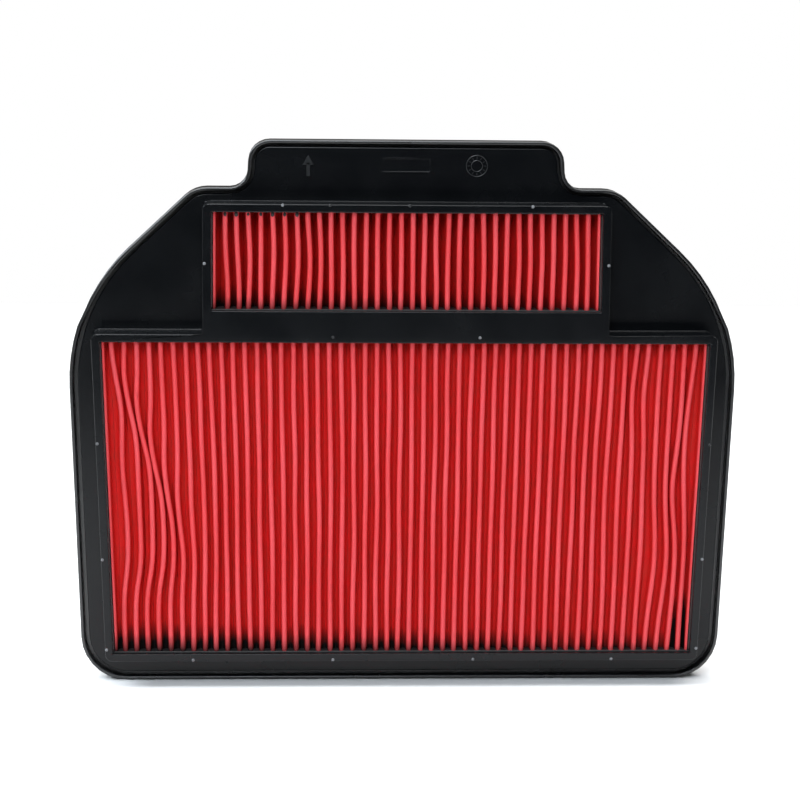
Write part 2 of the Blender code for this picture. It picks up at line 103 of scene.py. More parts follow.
class Domain(Enum):
    """What an edit-mode selection is made of."""

    FACES = "FACE"
    EDGES = "EDGE"


# ---------------------------------------- workshop


def deselect() -> None:
    """Deselects everything, before an operator acts on what is selected."""
    bpy.ops.object.select_all(action="DESELECT")


def pick_only(piece: Piece) -> None:
    """Deselects everything, then selects one object and makes it active.

    Args:
        piece: The object to work on.
    """
    deselect()
    piece.select_set(True)
    bpy.context.view_layer.objects.active = piece


def named(name: str) -> Piece:
    """Names the active object and its mesh, and puts its place into its mesh.

    Args:
        name: The piece's name.

    Returns:
        The object.
    """
    piece = bpy.context.view_layer.objects.active
    piece.name = name
    piece.data.name = name
    pick_only(piece)
    bpy.ops.object.transform_apply(location=True, rotation=True, scale=True)
    return piece


def joined(pieces: list[Piece], name: str) -> Piece:
    """Joins objects into one.

    Args:
        pieces: The objects; the first one takes in the others.
        name: The name of the result.

    Returns:
        The joined object.
    """
    pick_only(pieces[0])
    for piece in pieces[1:]:
        piece.select_set(True)
    bpy.ops.object.join()
    return named(name)


def copy_of_node(node: str, name: str) -> Piece:
    """A piece that starts as a CAD node's solid, with its loose triangles merged into whole convex faces.

    Args:
        node: The CAD node.
        name: The new piece's name.

    Returns:
        The new object.
    """
    piece = bpy.data.objects.new(name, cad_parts[node].data.copy())
    piece.data.name = name
    piece.data.materials.clear()
    bpy.context.scene.collection.objects.link(piece)
    enter_edit(piece)
    bpy.ops.mesh.select_all(action="SELECT")
    bpy.ops.mesh.remove_doubles(threshold=MERGE_WITHIN)
    bpy.ops.mesh.dissolve_limited(angle_limit=math.radians(FLAT_ANGLE))
    bpy.ops.mesh.vert_connect_concave()
    leave_edit()
    return piece


def modify(piece: Piece, kind: str, **settings: object) -> None:
    """Adds a modifier, sets it and applies it.

    Args:
        piece: The object.
        kind: The modifier's type, such as BEVEL.
        **settings: The modifier's properties.
    """
    pick_only(piece)
    modifier = piece.modifiers.new(kind.title(), kind)
    for key, value in settings.items():
        setattr(modifier, key, value)
    bpy.ops.object.modifier_apply(modifier=modifier.name)


def repeat(piece: Piece, count: int, step: Point, merge: bool) -> None:
    """Repeats a piece's mesh in a row.

    Args:
        piece: The object.
        count: How many there are in the end.
        step: The way from each one to the next.
        merge: Whether ends that meet become one.
    """
    modify(
        piece, "ARRAY", count=count, use_relative_offset=False, use_constant_offset=True,
        constant_offset_displace=step, use_merge_vertices=merge, merge_threshold=NEAR
    )


def round_edges(piece: Piece, width: float, segments: int = 2, angle: float = 35.0, clamp: bool = True) -> None:
    """Shades a piece smooth and bevels its sharp edges, with its broad faces kept flat.

    Args:
        piece: The object.
        width: The bevel's width.
        segments: How many faces across the bevel.
        angle: Edges that turn more than this many degrees are bevelled.
        clamp: Whether a bevel stays narrower than the shortest face allows.
    """
    smooth(piece)
    modify(
        piece, "BEVEL", width=width, segments=segments, limit_method="ANGLE",
        angle_limit=math.radians(angle), use_clamp_overlap=clamp, miter_outer="MITER_ARC"
    )
    modify(piece, "WEIGHTED_NORMAL", mode="FACE_AREA", weight=FACE_WEIGHT, keep_sharp=True)


def smooth(piece: Piece, angle: float = 40.0) -> None:
    """Shades a piece smooth; edges that turn more than an angle in degrees stay sharp."""
    pick_only(piece)
    bpy.ops.object.shade_smooth_by_angle(angle=math.radians(angle))


def select(piece: Piece, domain: Domain, wanted: Callable[[Any], bool]) -> None:
    """Selects the faces or the edges that pass a test, and enters edit mode.

    Args:
        piece: The object.
        domain: Whether faces or edges are tested.
        wanted: Takes a face or an edge.
    """
    enter_edit(piece)
    bpy.ops.mesh.select_mode(type=domain.value)
    bpy.ops.mesh.select_all(action="DESELECT")
    leave_edit()
    for item in piece.data.polygons if domain is Domain.FACES else piece.data.edges:
        item.select = wanted(item)
    enter_edit(piece)


def enter_edit(piece: Piece) -> None:
    """Enters edit mode on one object."""
    pick_only(piece)
    bpy.ops.object.mode_set(mode="EDIT")


def leave_edit() -> None:
    """Goes back to object mode."""
    bpy.ops.object.mode_set(mode="OBJECT")


def turn_outwards(piece: Piece) -> None:
    """Turns every face outwards.

    Args:
        piece: The object.
    """
    enter_edit(piece)
    bpy.ops.mesh.select_all(action="SELECT")
    bpy.ops.mesh.normals_make_consistent(inside=False)
    leave_edit()


def ends_of(piece: Piece, edge: bpy.types.MeshEdge) -> list[Vector]:
    """The two ends of an edge of a piece."""
    return [piece.data.vertices[index].co for index in edge.vertices]


def cut_along(piece: Piece, length: float, cuts: int) -> None:
    """Subdivides the edges that run along X for most of a length.

    Args:
        piece: The object.
        length: The length.
        cuts: How many cuts each edge gets.
    """

    def is_long(edge: bpy.types.MeshEdge) -> bool:
        """Whether an edge runs along X for most of the length."""
        first, second = ends_of(piece, edge)
        return abs(first.x - second.x) > length / 2

    select(piece, Domain.EDGES, is_long)
    bpy.ops.mesh.subdivide(number_cuts=cuts)
    leave_edit()


def vertex_array(piece: Piece) -> np.ndarray:
    """Reads a piece's vertices.

    Args:
        piece: The object.

    Returns:
        Rows of x, y, z.
    """
    places = np.empty(len(piece.data.vertices) * 3)
    piece.data.vertices.foreach_get("co", places)
    return places.reshape(-1, 3)


def move_vertices(piece: Piece, places: np.ndarray) -> None:
    """Writes rows of x, y, z back to a piece's vertices."""
    piece.data.vertices.foreach_set("co", places.reshape(-1))
    piece.data.update()


def half_widths(node: str) -> Range:
    """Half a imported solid's width at its bottom and at its top.

    Args:
        node: The CAD node.

    Returns:
        Both half-widths.
    """
    places = vertex_array(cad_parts[node])
    low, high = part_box(node)
    middle = (low.z + high.z) / 2
    bottom, top = places[places[:, 2] < middle], places[places[:, 2] > middle]
    return bottom[:, 0].max(), top[:, 0].max()


def add_box(name: str, low: Vector, high: Vector) -> Piece:
    """A cube primitive brought to a box's size and place.

    Args:
        name: The piece's name.
        low: The box's lowest corner.
        high: Its highest corner.

    Returns:
        The object.
    """
    deselect()
    bpy.ops.mesh.primitive_cube_add(size=1, location=(low + high) / 2)
    bpy.context.object.scale = high - low
    return named(name)


def finish_piece(piece: Piece, slot: Slot, material: Material, *nodes: str) -> None:
    """Gives a piece its material and its body, and hides the CAD nodes that it stands for.

    Args:
        piece: The object.
        slot: Not used.
        material: Its material.
        *nodes: The CAD nodes that it replaces.
    """
    piece.data.materials.clear()
    piece.data.materials.append(material)
    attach(piece, BODY)
    if nodes:
        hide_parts(*nodes)
    log.info("%s: %d faces", piece.name, len(piece.data.polygons))


def add_drop(place: Point, radius: float, stretch: Point, rings: int) -> Piece:
    """A small round drop.

    Args:
        place: Its middle.
        radius: Its radius.
        stretch: Its scale along each axis.
        rings: How many rings it has.

    Returns:
        The object.
    """
    deselect()
    bpy.ops.mesh.primitive_uv_sphere_add(segments=12, ring_count=rings, radius=radius, location=place)
    bpy.context.object.scale = stretch
    return named("drop")


def rounded_copy(node: str, kind: str, width: float, slot: Slot, material: Material) -> None:
    """A piece that is a CAD node's solid with rounded edges.

    Args:
        node: The CAD node.
        kind: What the piece's name ends with.
        width: The rounding's width.
        slot: Its slot.
        material: Its material.
    """
    piece = copy_of_node(node, f"{node}_{kind}")
    round_edges(piece, width)
    finish_piece(piece, slot, material, node)


# ---------------------------------------- finishes


class Shader:
    """A node tree, built up a step at a time."""

    def __init__(self, owner: Material | bpy.types.World) -> None:
        """Starts on a material or a world.

        Args:
            owner: What the nodes belong to.
        """
        owner.use_nodes = True
        self.tree = owner.node_tree
        self.coordinates = self.tree.nodes.new("ShaderNodeTexCoord").outputs

    def node(self, kind: str, **inputs: object) -> bpy.types.Node:
        """Adds a node and fills or links its inputs.

        Args:
            kind: The node's type, without its ShaderNode prefix.
            **inputs: Values or sockets by input name, with _ for a space.

        Returns:
            The node.
        """
        made = self.tree.nodes.new(f"ShaderNode{kind}")
        for key, value in inputs.items():
            self.fill(made.inputs[key.replace("_", " ")], value)
        return made

    def fill(self, socket: Socket, value: object) -> None:
        """Fills or links one input.

        Args:
            socket: The input.
            value: A plain value, or the socket to link.
        """
        if isinstance(value, Socket):
            self.tree.links.new(value, socket)
        else:
            socket.default_value = value

    def noise(self, scale: float, detail: float = 2.0, stretch: Point = (1, 1, 1)) -> Socket:
        """A noise pattern on Object coordinates, with so many features per metre and octaves of detail."""
        mapped = self.node("Mapping", Vector=self.coordinates["Object"], Scale=stretch).outputs["Vector"]
        return self.node("TexNoise", Vector=mapped, Scale=scale, Detail=detail).outputs["Fac"]

    def ramp(self, value: Socket, over: Range, to: Range) -> Socket:
        """Maps one range of a value to another, and holds it at the ends."""
        ends = {"From_Min": over[0], "From_Max": over[1], "To_Min": to[0], "To_Max": to[1]}
        return self.node("MapRange", Value=value, **ends).outputs["Result"]

    def math(self, operation: str, *values: object) -> Socket:
        """A sum on values.

        Args:
            operation: The Math node's operation.
            *values: Numbers or sockets.

        Returns:
            The result's socket.
        """
        made = self.node("Math")
        made.operation = operation
        for socket, value in zip(made.inputs, values):
            self.fill(socket, value)
        return made.outputs[0]

    def blend(self, share: Socket, first: object, second: object) -> Socket:
        """Mixes two colours.

        Args:
            share: How much of the second.
            first: A colour or a socket.
            second: A colour or a socket.

        Returns:
            The mixed colour's socket.
        """
        mix = self.node("Mix")
        mix.data_type = "RGBA"
        self.fill(mix.inputs[MIX_SHARE], share)
        for place, colour in ((MIX_FIRST, first), (MIX_SECOND, second)):
            self.fill(mix.inputs[place], colour if isinstance(colour, Socket) else (*colour, 1.0))
        return mix.outputs[MIX_RESULT]

    def bump(self, height: Socket, distance: float, **before: Socket) -> Socket:
        """A bump of a real depth, on top of the Normal of a coarser one if there is one."""
        return self.node("Bump", Height=height, Distance=distance, Strength=1.0, **before).outputs["Normal"]

    def dress(self, **inputs: object) -> None:
        """Sets or links inputs of the Principled shader.

        Args:
            **inputs: Values or sockets by input name, with _ for a space.
        """
        surface = self.tree.nodes["Principled BSDF"]
        for key, value in inputs.items():
            self.fill(surface.inputs[key.replace("_", " ")], value)


@dataclass(frozen=True)
class Finish:
    """A finish of two colours in patches, with a roughness that follows them and a fine grain.

    Attributes:
        patches: The patches' features per metre and their octaves.
        grain: The same of the grain.
        spread: Where in the patches' pattern the first colour ends and where the second is full.
        sink_depth: The depth of a broad unevenness under the grain.
        clear: How much of the light goes in and scatters, over clear_depth.
    """

    colour: Colour
    second: Colour
    roughness: Range
    patches: Range
    grain: Range
    grain_depth: float
    spread: Range = RISING
    sink: Range = (28.0, 1.0)
    sink_depth: float = 0.0
    gloss: float = 0.5
    metal: float = 0.0
    clear: float = 0.0
    clear_depth: float = 0.8 * MM

    def material(self, name: str) -> Material:
        """Builds the material.

        Args:
            name: Its name.

        Returns:
            The material.
        """
        made = bpy.data.materials.new(name)
        shader = Shader(made)
        patches = shader.noise(*self.patches)
        under = {}
        if self.sink_depth:
            under["Normal"] = shader.bump(shader.noise(*self.sink), self.sink_depth)
        shader.dress(
            Base_Color=shader.blend(shader.ramp(patches, self.spread, RISING), self.colour, self.second),
            Roughness=shader.ramp(patches, NOISE_SPREAD, self.roughness),
            Normal=shader.bump(shader.noise(*self.grain), self.grain_depth, **under),
            Specular_IOR_Level=self.gloss,
            Metallic=self.metal,
            Subsurface_Weight=self.clear,
            Subsurface_Scale=self.clear_depth,
        )
        return made


BLACK_PLASTIC = Finish(
    colour=(0.0010, 0.0014, 0.0020), second=(0.0017, 0.0023, 0.0031), roughness=(0.22, 0.29),
    patches=(60.0, 3.0), grain=(2600.0, 2.0), grain_depth=0.004 * MM, sink_depth=0.25 * MM, gloss=0.25
)
STRESSED_PLASTIC = replace(BLACK_PLASTIC, colour=(0.22, 0.23, 0.24), second=(0.05, 0.05, 0.055))
RUBBED_PLASTIC = replace(BLACK_PLASTIC, colour=(0.010, 0.011, 0.012), second=(0.022, 0.023, 0.024))
BLOOMED_RUBBER = Finish(
    colour=(0.0024, 0.0025, 0.0027), second=(0.0055, 0.0055, 0.006), roughness=(0.26, 0.36),
    patches=(90.0, 4.0), grain=(1500.0, 2.0), grain_depth=0.01 * MM, spread=(0.45, 0.75), gloss=0.75
)
POTTING = Finish(
    colour=(0.006, 0.006, 0.007), second=(0.012, 0.012, 0.012), roughness=(0.5, 0.7),
    patches=(240.0, 3.0), grain=(700.0, 2.0), grain_depth=0.15 * MM
)
SIDE_BOND = replace(POTTING, colour=(0.02, 0.012, 0.012), second=(0.035, 0.014, 0.014), roughness=(0.4, 0.6))
HOT_MELT = replace(
    POTTING, colour=(0.62, 0.50, 0.30), second=(0.70, 0.60, 0.40), roughness=(0.3, 0.45), clear=0.4
)
GALVANISED = Finish(
    colour=(0.62, 0.62, 0.60), second=(0.36, 0.36, 0.36), roughness=(0.28, 0.5),
    patches=(900.0, 3.0), grain=(2200.0, 1.0), grain_depth=0.01 * MM, metal=1.0
)


@dataclass(frozen=True)
class OiledPaper:
    """Red oiled filter paper: fibres, mottling, crests painted paler as a painted sheen, and light that passes
    through the sheet.

    Attributes:
        soak_and_shade_height: How far over the paper's foot the darkening reaches at the crests, where it is
            potting that has soaked in.
        soak_and_shade_slope: How much higher it is for each metre into a slot, as far as
            soak_and_shade_deepest; this rise into the slots is painted shade.
        soak_and_shade_tilt: How much higher it is for each metre to the right.
        shaded_gap_x: The slots where painted shade reaches highest, in a gap between pushed pleats.
        shaded_gap_depth: Where in the slots the painted shade of the gap begins and is full.
    """

    deep: Colour = (0.78, 0.014, 0.014)
    mottled: Colour = (0.68, 0.022, 0.016)
    mottle_scale: float = 420.0
    mottle_stretch: Point = (1.0, 1.0, 0.45)
    mottle_spread: Range = (0.35, 0.7)
    # Painted sheen: the paler pink painted on the crests' front.
    crest: Colour = (0.84, 0.107, 0.124)
    crest_sheen_depth: float = 1.1 * MM
    fibre_scale: float = 1400.0
    fibre_stretch: Point = (1.0, 1.0, 0.3)
    fibre_depth: float = 0.03 * MM
    passes_through: float = 0.4
    roughness: float = 0.62
    gloss: float = 0.3
    # Potting soaked into the paper's foot, and painted shade deeper in the slots and in a shaded gap.
    soak_and_shade: Colour = (0.006, 0.003, 0.003)
    soak_and_shade_height: float = -5.6 * MM
    soak_and_shade_slope: float = 0.8
    soak_and_shade_edge: float = 6.6 * MM
    soak_and_shade_deepest: float = 6.0 * MM
    soak_and_shade_tilt: float = -0.022
    soak_and_shade_ragged: float = 6.0 * MM
    ragged_scale: float = 130.0
    # Painted shade: a gap between pushed pleats, painted dark.
    shaded_gap_x: float = 97.5 * MM
    shaded_gap_reach: float = 6.5 * MM
    shaded_gap_height: float = 19.0 * MM
    shaded_gap_depth: Range = (0.7 * MM, 2.4 * MM)

    def material(self, name: str, front_y: float, foot_z: float) -> Material:
        """Builds the material.

        Args:
            name: Its name.
            front_y: Where the crests of the dirty side are.
            foot_z: Where the paper stands in its potting.

        Returns:
            The material.
        """
        made = bpy.data.materials.new(name)
        shader = Shader(made)
        place = shader.node("SeparateXYZ", Vector=shader.coordinates["Object"]).outputs
        depth = shader.ramp(place["Y"], (front_y, front_y + 1.0), RISING)
        # Painted sheen: the crests' front is painted a paler pink, standing in for the sheen of front light on
        # them.
        crest = shader.ramp(depth, (0.0, self.crest_sheen_depth), FALLING)
        mottle = shader.noise(self.mottle_scale, 4.0, self.mottle_stretch)
        mottle = shader.ramp(mottle, self.mottle_spread, RISING)
        body = shader.blend(mottle, self.deep, self.mottled)
        # Darkening near the foot: potting soaked into the paper, and painted shade that rises deeper into the
        # slots and in the shaded gap.
        above = shader.math("SUBTRACT", place["Z"], self.soak_and_shade_top(shader, place, depth, foot_z))
        darkened = shader.ramp(above, (0.0, self.soak_and_shade_edge), FALLING)
        colour = shader.blend(darkened, shader.blend(crest, body, self.crest), self.soak_and_shade)
        fibres = shader.noise(self.fibre_scale, 5.0, self.fibre_stretch)
        normal = shader.bump(fibres, self.fibre_depth)
        shader.dress(
            Base_Color=colour, Roughness=self.roughness, Normal=normal, Specular_IOR_Level=self.gloss
        )
        through = shader.node("BsdfTranslucent", Color=colour, Normal=normal)
        mix = shader.node("MixShader", Fac=self.passes_through)
        nodes = shader.tree.nodes
        shader.fill(mix.inputs[1], nodes["Principled BSDF"].outputs["BSDF"])
        shader.fill(mix.inputs[2], through.outputs["BSDF"])
        shader.fill(nodes["Material Output"].inputs["Surface"], mix.outputs["Shader"])
        return made

    def soak_and_shade_top(self, shader: Shader, place: Any, depth: Socket, foot_z: float) -> Socket:
        """How high the darkening reaches: potting soaked into the paper, and painted shade in the slots and in
        the shaded gap.

        Args:
            shader: The material's nodes.
            place: The separated coordinates.
            depth: How far behind the crests a point is.
            foot_z: Where the paper stands in its potting.

        Returns:
            The height's socket.
        """
        top = shader.math("MINIMUM", depth, self.soak_and_shade_deepest)
        top = shader.math("MULTIPLY_ADD", top, self.soak_and_shade_slope, foot_z + self.soak_and_shade_height)
        ragged = shader.noise(self.ragged_scale, 3.0)
        top = shader.math("MULTIPLY_ADD", ragged, self.soak_and_shade_ragged, top)
        top = shader.math("MULTIPLY_ADD", place["X"], self.soak_and_shade_tilt, top)
        # Painted shade: the slots round shaded_gap_x are painted dark higher up.
        away = shader.math("ABSOLUTE", shader.math("SUBTRACT", place["X"], self.shaded_gap_x))
        shaded_gap = shader.ramp(away, (0.0, self.shaded_gap_reach), (self.shaded_gap_height, 0.0))
        return shader.math("MULTIPLY_ADD", shaded_gap, shader.ramp(depth, self.shaded_gap_depth, RISING), top)


# ---------------------------------------- moulding


@dataclass
class Moulding:
    """The moulded frame and what is marked on it."""

    edge_width: float = 0.34 * MM
    corner_radius: float = 1.3 * MM
    corner_segments: int = 4
    ledge_top: float = 2.2 * MM
    corner_from: float = 50 * MM
    shortest_wall: float = 5 * MM
    flange_step: float = 1.0 * MM

    pin_radius: float = 0.55 * MM
    pin_height: float = 0.3 * MM
    below_seal: float = 1.6 * MM
    above_seal: float = 1.75 * MM
    on_ledge: float = 1.4 * MM
    beside_seal: float = 1.7 * MM
    top_pins: tuple[tuple[float, bool], ...] = (
        (-42.2 * MM, True), (-26.3 * MM, False), (0.6 * MM, False), (42.2 * MM, True)
    )
    upper_side_pin: float = 2.5 * MM
    ledge_pin: float = 25.0 * MM
    bottom_pins: Range = (24.3 * MM, 72.5 * MM)
    side_pins: tuple[Range, ...] = (
        (104.8 * MM, 85.7 * MM), (103.4 * MM, 45.4 * MM), (102.2 * MM, 13.7 * MM)
    )
    pale_below: float = 50 * MM

    mark_height: float = 0.22 * MM
    arrow_place: Range = (-33.5 * MM, 179.5 * MM)
    head_radii: Range = (2.4 * MM, 2.1 * MM)
    head_rise: float = 1.6 * MM
    stem_half: float = 0.6 * MM
    stem_rise: Range = (-3.4 * MM, 1.2 * MM)
    clock_place: Range = (24.0 * MM, 180.0 * MM)
    clock_radii: Range = (3.6 * MM, 1.9 * MM)
    clock_line: float = 0.16 * MM
    ticks: int = 12
    tick_radius: float = 2.75 * MM
    tick_size: Range = (0.9 * MM, 0.22 * MM)
    plate_place: Range = (0.0, 180.0 * MM)
    plate_half: Range = (8.5 * MM, 2.6 * MM)
    plate_border: float = 0.45 * MM
    plate_step: Range = (0.1 * MM, -0.2 * MM)

    def build(self, plastic: Material, stressed: Material, raised: Material) -> None:
        """Builds the frame and its marks.

        Args:
            plastic: The frame's material.
            stressed: The same plastic where pins have pushed it pale.
            raised: The same plastic where it stands proud and is rubbed.
        """
        shell = copy_of_node("front_frame", "moulded_frame")
        self.round_corners(shell)
        round_edges(shell, self.edge_width, segments=3, clamp=False)
        finish_piece(shell, Slot.PLASTIC, plastic, "front_frame")
        finish_piece(self.pin_marks("pale_pin_marks", pale=True), Slot.PLASTIC, stressed)
        finish_piece(self.pin_marks("dull_pin_marks", pale=False), Slot.PLASTIC, raised)
        finish_piece(self.arrow(), Slot.PLASTIC, raised)
        finish_piece(self.date_clock(), Slot.PLASTIC, raised)
        finish_piece(self.blank_plate(), Slot.PLASTIC, plastic)

    def round_corners(self, shell: Piece) -> None:
        """Rounds the box's outer upper corners, where two side walls meet.

        Args:
            shell: The frame.
        """
        front_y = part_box("front_frame")[0].y
        places = vertex_array(shell)
        walls = places[np.abs(places[:, 1] - front_y) < NEAR]
        tops = (walls[:, 2].max(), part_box("lower_end_seal_top")[1].z + self.ledge_top)

        def is_corner(edge: bpy.types.MeshEdge) -> bool:
            """Whether an edge runs straight back from the front, at a wall's upper corner."""
            first, second = ends_of(shell, edge)
            along = abs(first.y - second.y)
            straight = (first - second).length - along < 5 * NEAR
            at_top = min(abs(first.z - top) for top in tops) < 10 * NEAR
            starts = min(first.y, second.y) < front_y + NEAR
            outer = at_top and abs(first.x) > self.corner_from
            return along > self.shortest_wall and starts and straight and outer

        select(shell, Domain.EDGES, is_corner)
        bpy.ops.mesh.bevel(offset=self.corner_radius, segments=self.corner_segments, affect="EDGES")
        leave_edit()

    def on_flange(self, place: Range) -> Vector:
        """Where a mark with this x and z sits on the front face of the flange plate."""
        return Vector((place[0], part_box("rim_seal")[0].y + self.flange_step, place[1]))

    def pin_places(self) -> Iterator[tuple[float, float, bool]]:
        """Lists the ejector pins' marks on the box's front border.

        Returns:
            x and z of each one, and whether it has gone pale.
        """
        bottom_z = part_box("lower_end_seal_bottom")[0].z - self.below_seal
        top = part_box("upper_end_seal_top")[1]
        top_z = top.z + self.above_seal
        ledge_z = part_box("lower_end_seal_top")[1].z + self.on_ledge
        for x, pale in self.top_pins:
            yield x, top_z, pale
        for side in (-1, 1):
            yield side * (top.x + self.beside_seal), (top_z + ledge_z) / 2 + self.upper_side_pin, True
            yield side * self.ledge_pin, ledge_z, side > 0
            for x in self.bottom_pins:
                yield side * x, bottom_z, True
            for x, z in self.side_pins:
                yield side * x, z, side < 0 or z < self.pale_below

    def pin_marks(self, name: str, pale: bool) -> Piece:
        """Low round marks that the mould's pins left.

        Args:
            name: The piece's name.
            pale: Whether these are the pale ones.

        Returns:
            All such marks as one piece.
        """
        front_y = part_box("front_frame")[0].y
        flat = (1, self.pin_height / self.pin_radius, 1)
        places = [(x, front_y, z) for x, z, is_pale in self.pin_places() if is_pale == pale]
        piece = joined([add_drop(place, self.pin_radius, flat, rings=6) for place in places], name)
        smooth(piece)
        return piece

    def arrow(self) -> Piece:
        """A raised arrow that points up, on the tab.

        Returns:
            The piece.
        """
        place = self.on_flange(self.arrow_place)
        foot, top = self.head_radii
        deselect()
        bpy.ops.mesh.primitive_cone_add(
            vertices=3, radius1=foot, radius2=top, depth=2 * self.mark_height,
            location=place + Vector((0, 0, self.head_rise)), rotation=FACING_FRONT
        )
        head = named("arrow_head")
        low = Vector((-self.stem_half, -self.mark_height, self.stem_rise[0]))
        high = Vector((self.stem_half, self.mark_height, self.stem_rise[1]))
        piece = joined([head, add_box("arrow_stem", place + low, place + high)], "up_arrow")
        round_edges(piece, 0.08 * MM)
        return piece

    def date_clock(self) -> Piece:
        """A blank moulder's clock: two rings, ticks and no figures.

        Returns:
            The piece.
        """
        place = self.on_flange(self.clock_place)
        parts = []
        for radius in self.clock_radii:
            deselect()
            bpy.ops.mesh.primitive_torus_add(
                major_radius=radius, minor_radius=self.clock_line, major_segments=40, minor_segments=8,
                location=place, rotation=FACING_FRONT
            )
            parts.append(named("clock_ring"))
        for hour in range(self.ticks):
            bearing = math.tau * hour / self.ticks
            outwards = Vector((math.cos(bearing), 0, math.sin(bearing)))
            deselect()
            bpy.ops.mesh.primitive_cube_add(
                size=1, location=place + outwards * self.tick_radius, rotation=(0, -bearing, 0)
            )
            bpy.context.object.scale = (self.tick_size[0], 2 * self.mark_height, self.tick_size[1])
            parts.append(named("clock_tick"))
        piece = joined(parts, "date_clock")
        smooth(piece)
        return piece

    def blank_plate(self) -> Piece:
        """A raised blank frame where a maker would put a number.

        Returns:
            The piece.
        """
        place = self.on_flange(self.plate_place)
        half = Vector((self.plate_half[0], self.mark_height, self.plate_half[1]))
        piece = add_box("blank_plate", place - half, place + half)
        select(piece, Domain.FACES, lambda face: face.normal.y < -0.9)
        bpy.ops.mesh.inset(thickness=self.plate_border)
        bpy.ops.mesh.inset(thickness=self.plate_step[0], depth=self.plate_step[1])
        leave_edit()
        round_edges(piece, 0.06 * MM)
        return piece


@dataclass
class RimSeal:
    """The rubber ring: rounded ridge, and a shallow groove round its outer side."""

    edge_width: float = 0.30 * MM
    least_angle: float = 20.0
    groove_margin: float = 1.7 * MM
    groove_depth: float = 0.35 * MM
    centre_z: float = 85 * MM
    middle_share: float = 0.2

    def build(self, rubber: Material) -> None:
        """Builds the seal.

        Args:
            rubber: Its material.
        """
        low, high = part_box("rim_seal")
        piece = copy_of_node("rim_seal", "rubber_seal")

        def is_outer(face: bpy.types.MeshPolygon) -> bool:
            """Whether a face is part of the seal's outer side wall."""
            away = Vector((face.center.x, 0, face.center.z - self.centre_z))
            in_middle = abs(face.center.y - (low.y + high.y) / 2) < self.middle_share * (high.y - low.y)
            return in_middle and abs(face.normal.y) < 0.1 and face.normal.dot(away) > 0

        select(piece, Domain.FACES, is_outer)
        bpy.ops.mesh.inset(thickness=self.groove_margin, depth=-self.groove_depth, use_boundary=True)
        leave_edit()
        round_edges(piece, self.edge_width, segments=3, angle=self.least_angle)
        finish_piece(piece, Slot.RUBBER, rubber, "rim_seal")


# ---------------------------------------- paper


@dataclass(frozen=True)
class Crease:
    """A stretch where pleats have been pushed sideways.

    Attributes:
        pleat: The pleat at its middle, counted from the left side wall.
        z: Its height.
        push: How far the crests move to the right.
        reach: How many pleats it takes in on each side.
        span: Half its height.
    """

    pleat: float
    z: float
    push: float
    reach: float
    span: float

    def shift(self, pleat: np.ndarray, z: np.ndarray) -> np.ndarray:
        """How far crests move to the right at some heights."""
        return self.push * np.exp(-(((pleat - self.pleat) / self.reach) ** 2) - ((z - self.z) / self.span) ** 2)


@dataclass(frozen=True)
class Slump:
    """Pleats that have fallen sideways along a slanting line, each a little lower than the one before.

    Attributes:
        start_z: Where the first pleat starts to move, from above; each next one starts lower by fall.
        lowest_z: The lowest start; at end_z they are back in place.
        softness: How much height the start and the end take.
        crowding: How far a pleat is first pushed back, this many softnesses (before) above its start.
    """

    push: float
    pleat: float
    reach: float
    start_z: float
    fall: float
    lowest_z: float
    end_z: float
    softness: float
    crowding: float
    before: float = 2.0

    def shift(self, pleat: np.ndarray, z: np.ndarray) -> np.ndarray:
        """How far crests move.

        Args:
            pleat: Crest numbers.
            z: Heights.

        Returns:
            The shifts.
        """
        share = np.exp(-(((pleat - self.pleat) / self.reach) ** 2))
        start = np.maximum(self.start_z - self.fall * (pleat - 1), self.lowest_z)
        into = (start - z) / self.softness
        fallen = (1 + np.tanh(into)) * (1 + np.tanh((z - self.end_z) / self.softness)) / 4
        return share * (self.push * fallen - self.crowding * np.exp(-((into + self.before) ** 2)))


